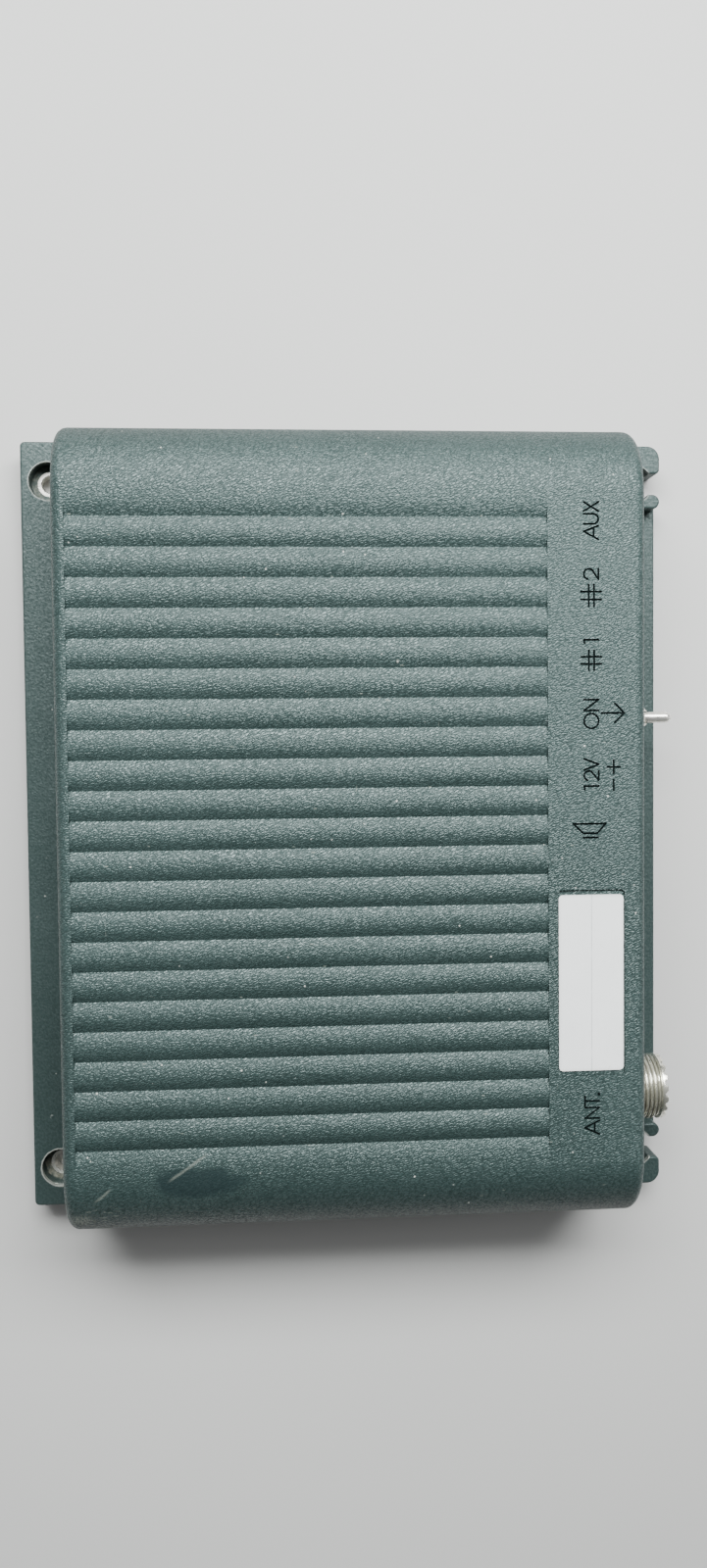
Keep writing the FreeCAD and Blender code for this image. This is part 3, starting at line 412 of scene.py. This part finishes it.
MATS = {
    "cover_plastic": leather_cover(),
    "base_paint": base_paint(),
    "panel_paint": satin_black(),
    "label_foil": foil_label(),
    "gasket_rubber": plastic("gasket_rubber", (0.010, 0.010, 0.010), (0.018, 0.018, 0.018), 0.75, 1400.0, 0.4, 0.3),
    "nickel": metal("nickel_plate", (0.84, 0.82, 0.75), (0.92, 0.91, 0.86), 0.24, 0.38, 700.0, tar=0.22, solid=0.82),
    "screw_steel": metal("zinc_steel", (0.50, 0.49, 0.46), (0.62, 0.61, 0.58), 0.30, 0.45, 900.0, tar=0.35),
    "brass": metal("tinned_brass", (0.66, 0.50, 0.24), (0.74, 0.58, 0.30), 0.25, 0.38, 900.0, tarnish=(0.30, 0.18, 0.08)),
    "gold_contact": metal("gold_flash", (0.80, 0.58, 0.24), (0.86, 0.66, 0.32), 0.18, 0.30, 900.0, tarnish=(0.5, 0.3, 0.12), tar=0.15),
    "ptfe": plastic("white_fluoropolymer", (0.74, 0.72, 0.66), (0.80, 0.79, 0.74), 0.5, 600.0, 0.12),
    "cable_jacket": plastic("coax_jacket", (0.16, 0.10, 0.06), (0.22, 0.15, 0.09), 0.4),
    "socket_black": plastic("moulded_black", (0.012, 0.012, 0.013), (0.022, 0.022, 0.023), 0.48, 900.0, 0.2),
    "socket_nylon": plastic("natural_nylon", (0.58, 0.55, 0.45), (0.66, 0.63, 0.54), 0.42, 700.0, 0.15),
    "switch_red": plastic("switch_phenolic", (0.20, 0.025, 0.018), (0.28, 0.04, 0.025), 0.35, 700.0, 0.15),
    "board_laminate": board_green(),
    "module_white": plastic("module_cap", (0.60, 0.60, 0.56), (0.70, 0.70, 0.66), 0.5),
    "tinplate": metal("tin_plate", (0.56, 0.56, 0.54), (0.66, 0.66, 0.63), 0.28, 0.42, 500.0, tar=0.3),
    "bracket_aluminium": metal("mill_aluminium", (0.62, 0.62, 0.63), (0.70, 0.70, 0.71), 0.30, 0.45, 400.0, (8, 1, 1)),
    "ferrite": plastic("ferrite_ring", (0.05, 0.05, 0.055), (0.08, 0.08, 0.085), 0.55, 1200.0, 0.5),
    "capacitor_sleeve": plastic("capacitor_sleeve", (0.012, 0.02, 0.09), (0.02, 0.03, 0.13), 0.3),
    "fuse_plastic": plastic("fuse_body", (0.22, 0.10, 0.02), (0.30, 0.15, 0.03), 0.3),
}
for sp in frame["record"]["subparts"]:
    o = NODES[sp["node"]]
    o.data.materials.clear()
    o.data.materials.append(MATS[sp["material_slot"]])

# ------------------------------------------------------------------ antenna socket with its real screw thread
def antenna_shell():
    ax, az, yf, ye = -66.8, 16.5, -66.4, -77.2
    R, root, pitch, teeth = 7.9375, 7.32, 1.058, 18
    per = 12
    n = teeth * per
    bm = bmesh.new()

    def tooth(i):
        u = (i % per) / per                     # 0..1 across one tooth, a round crest and a V-shaped gap
        w = abs(u - 0.5) * 2.0
        return 0.95 * max(0.0, 1.0 - w / 0.62) ** 0.85

    def thread(y, th):
        ph = ((y - yf) / pitch + th / (2 * math.pi)) % 1.0
        w = abs(ph - 0.5) * 2.0
        k = min(1.0, max(0.0, (w - 0.16) / 0.68))
        return root + (R - root) * k

    prof = [(5.9, yf + 4.5, None), (7.95, yf + 4.5, None), (7.95, yf, None), (9.6, yf, None), (9.6, yf - 1.8, None),
            (9.4, yf - 2.0, None), (7.3, yf - 2.0, None), (7.2, yf - 2.4, None)]
    y = yf - 2.55
    end = ye + 1.75
    while y > end:
        prof.append((None, y, "t"))
        y -= pitch / 11.0
    prof += [(7.55, ye + 1.6, None), (R - 0.12, ye + 1.42, None), (R, ye + 1.30, None), (R, ye + 1.05, None)]
    prof += [(R, ye + 0.5, "e1"), (R - 0.06, ye + 0.12, "e2"), (R - 0.30, ye, "e"), (7.1, ye, "e"), (6.6, ye, "e"), (6.4, ye + 0.12, "e2")]
    prof += [(5.95, ye + 1.05, None), (5.9, ye + 1.3, None)]
    rings = []
    for r, yy, kind in prof:
        ring = []
        for i in range(n):
            th = 2 * math.pi * i / n
            rr, y2 = r, yy
            if kind == "t":
                rr = thread(yy, th)
                fade = min(1.0, max(0.0, (yy - end) / 0.5))
                rr = 7.35 + (rr - 7.35) * fade
            elif kind in ("e", "e1", "e2"):
                f = {"e": 1.0, "e2": 0.93, "e1": 0.5}[kind]
                y2 = yy + tooth(i) * f
            ring.append(bm.verts.new(((ax + rr * math.cos(th)) * MM, y2 * MM, (az + rr * math.sin(th)) * MM)))
        rings.append(ring)
    for a, b in zip(rings, rings[1:] + rings[:1]):
        for i in range(n):
            j = (i + 1) % n
            bm.faces.new((a[i], a[j], b[j], b[i]))
    bmesh.ops.recalc_face_normals(bm, faces=bm.faces)
    me = bpy.data.meshes.new("antenna_socket_thread")
    bm.to_mesh(me)
    bm.free()
    for p in me.polygons:
        p.use_smooth = True
    me.set_sharp_from_angle(angle=math.radians(38))
    ob = bpy.data.objects.new("antenna_socket_thread", me)
    bpy.context.scene.collection.objects.link(ob)
    ob.data.materials.append(nickel_thread())
    return ob


shell = antenna_shell()
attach(shell, "radio")
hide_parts("antenna_socket_shell")

# ------------------------------------------------------------------ stage and light
def plane(name, size, z):
    me = bpy.data.meshes.new(name)
    s = size / 2
    me.from_pydata([(-s, -s, z), (s, -s, z), (s, s, z), (-s, s, z)], [], [(0, 1, 2, 3)])
    ob = bpy.data.objects.new(name, me)
    bpy.context.scene.collection.objects.link(ob)
    return ob


floor = plane("studio_floor", 60.0, -0.0002)
gf = G("studio_floor_pale")
gf.set(color=gf.mix(gf.range(gf.noise(3.0, 2.0), 0.3, 0.7), (0.57, 0.565, 0.555), (0.61, 0.605, 0.595)), rough=0.8)
floor.data.materials.append(gf.mat)


def area(name, loc, target, size, power, color=(1, 1, 1), size_y=None):
    d = bpy.data.lights.new(name, "AREA")
    d.shape = "RECTANGLE"
    d.size = size
    d.size_y = size_y or size
    d.energy = power
    d.color = color
    ob = bpy.data.objects.new(name, d)
    ob.location = loc
    ob.rotation_euler = (Vector(target) - Vector(loc)).to_track_quat("-Z", "Y").to_euler()
    bpy.context.scene.collection.objects.link(ob)
    return ob


area("key_window", (0.345, -0.03, 0.47), (0.02, 0.0, 0.03), 0.75, 10.6, (0.97, 1.0, 0.995), 0.22)
area("fill_front", (-0.10, -0.80, 0.45), (0.0, 0.0, 0.02), 0.7, 1.0, (0.97, 1.0, 1.0))
area("fill_rear", (-0.30, 0.80, 0.55), (0.0, 0.0, 0.02), 0.7, 0.7, (1.0, 0.99, 0.97))
sun = bpy.data.lights.new("broad_daylight", "SUN")
sun.energy = 0.9
sun.angle = math.radians(40)
sun_ob = bpy.data.objects.new("broad_daylight", sun)
sun_ob.rotation_euler = Vector((-0.75, 0.08, -0.80)).to_track_quat("-Z", "Y").to_euler()
bpy.context.scene.collection.objects.link(sun_ob)
world = bpy.data.worlds.new("studio_world")
world.use_nodes = True
world.node_tree.nodes["Background"].inputs[0].default_value = (0.93, 0.97, 1.0, 1.0)
world.node_tree.nodes["Background"].inputs[1].default_value = 0.10
bpy.context.scene.world = world
